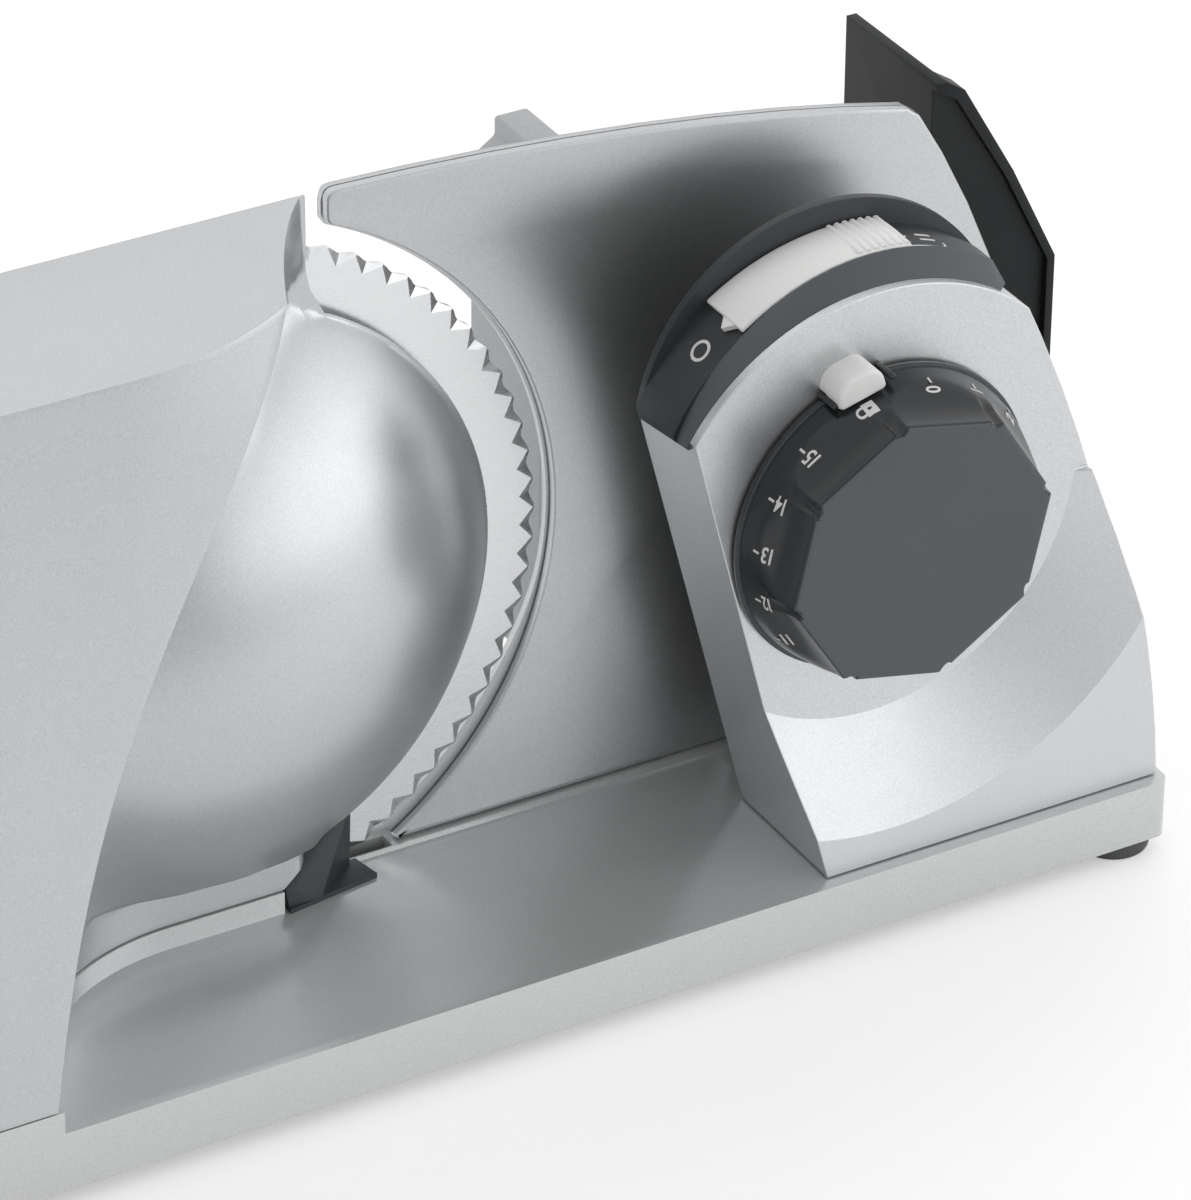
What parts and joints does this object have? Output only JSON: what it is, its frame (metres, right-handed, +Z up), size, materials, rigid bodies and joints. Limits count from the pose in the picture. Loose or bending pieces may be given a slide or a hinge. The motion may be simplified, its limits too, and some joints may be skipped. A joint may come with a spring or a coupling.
{
  "type": "folding food slicer",
  "caption": "Folding food slicer with a serrated round blade, thickness dial, sliding stop plate and a food carriage folded up behind the plate.",
  "frame": {"origin": "middle of the footprint, on the floor under the rubber feet, with the carriage folded up", "axes": "+X runs along the base from the motor side to the dial side, +Y from the dial side of the stop plate to the carriage behind it, +Z up"},
  "size_m": [0.3486, 0.1118, 0.1884],
  "materials": {
    "silver": "silver paint on plastic, satin with a fine speckle",
    "tray": "satin grey",
    "dark": "dark grey, satin",
    "white": "white, satin",
    "light": "light grey, satin",
    "rubber": "black rubber",
    "stainless": "bright stainless steel",
    "steel": "plain steel",
    "bush": "sintered bronze",
    "gear": "natural white plastic",
    "core": "motor iron and winding",
    "black": "black"
  },
  "bodies": {
    "frame": {"base_tray": "tray", "base_cover": "dark", "rubber_feet": "rubber", "base_screws": "steel", "cord_gland": "rubber", "motor_housing": "silver", "gearbox_plate": "gear", "housing_screws": "steel", "slice_deflector": "dark", "motor_stator": "core", "motor_brackets": "steel", "motor_posts": "steel", "motor_bushes": "bush", "idler_axle": "steel", "spindle_bush": "bush", "dial_housing": "silver", "dial_housing_back": "dark", "back_screws": "steel", "switch_drum": "dark", "micro_switch": "black", "index_pointer": "white", "dial_bush": "bush", "guide_bushes": "bush", "guide_rod": "stainless", "rod_brackets": "dark"},
    "blade_unit": {"blade_spindle": "steel", "blade_gear": "gear", "blade": "stainless", "blade_screws": "steel"},
    "idler": {"idler_gear": "gear"},
    "rotor": {"motor_rotor": "core", "motor_shaft": "steel", "motor_pinion": "gear"},
    "dial": {"dial_ring": "dark", "dial_knob": "dark", "dial_shaft": "steel", "dial_cam": "gear"},
    "stop": {"stop_plate": "silver", "stop_bracket": "steel", "follower_pin": "steel", "guide_pins": "steel", "return_springs": "steel"},
    "slider": {"switch_slider": "white"},
    "runner": {"runner_sleeve": "gear"},
    "carriage": {"carriage_plate": "light", "carriage_leg": "light", "carriage_end": "dark", "carriage_screws": "steel"}
  },
  "joints": [
    {"name": "blade_spin", "type": "hinge", "parent": "frame", "child": "blade_unit", "pos_m": [-0.04875, -0.0509, 0.0959], "axis": [0, 1, 0], "continuous": true},
    {"name": "idler_spin", "type": "hinge", "parent": "frame", "child": "idler", "pos_m": [-0.09225, -0.0509, 0.11619], "axis": [0, 1, 0], "continuous": true},
    {"name": "rotor_spin", "type": "hinge", "parent": "frame", "child": "rotor", "pos_m": [-0.1242, -0.0509, 0.09382], "axis": [0, 1, 0], "continuous": true},
    {"name": "dial_turn", "type": "hinge", "parent": "frame", "child": "dial", "pos_m": [0.09435, -0.0509, 0.1025], "axis": [0, -1, 0], "range_deg": [0, 330]},
    {"name": "stop_slide", "type": "slide", "parent": "frame", "child": "stop", "axis": [0, -1, 0], "range_m": [0, 0.016], "deforming": ["return_springs"]},
    {"name": "switch_slide", "type": "hinge", "parent": "frame", "child": "slider", "pos_m": [0.09595, -0.0509, 0.1054], "axis": [0, 1, 0], "range_deg": [0, 25]},
    {"name": "carriage_slide", "type": "slide", "parent": "frame", "child": "runner", "axis": [-1, 0, 0], "range_m": [0, 0.19]},
    {"name": "carriage_fold", "type": "hinge", "parent": "runner", "child": "carriage", "pos_m": [0.10175, 0.0251, 0.0312], "axis": [-1, 0, 0], "range_deg": [0, 90]}
  ],
  "couplings": [
    {"joint": "idler_spin", "follows": "blade_spin", "ratio": -3.5714},
    {"joint": "rotor_spin", "follows": "blade_spin", "ratio": 11.905},
    {"joint": "stop_slide", "follows": "dial_turn", "m_per_rad": 0.0027777}
  ]
}
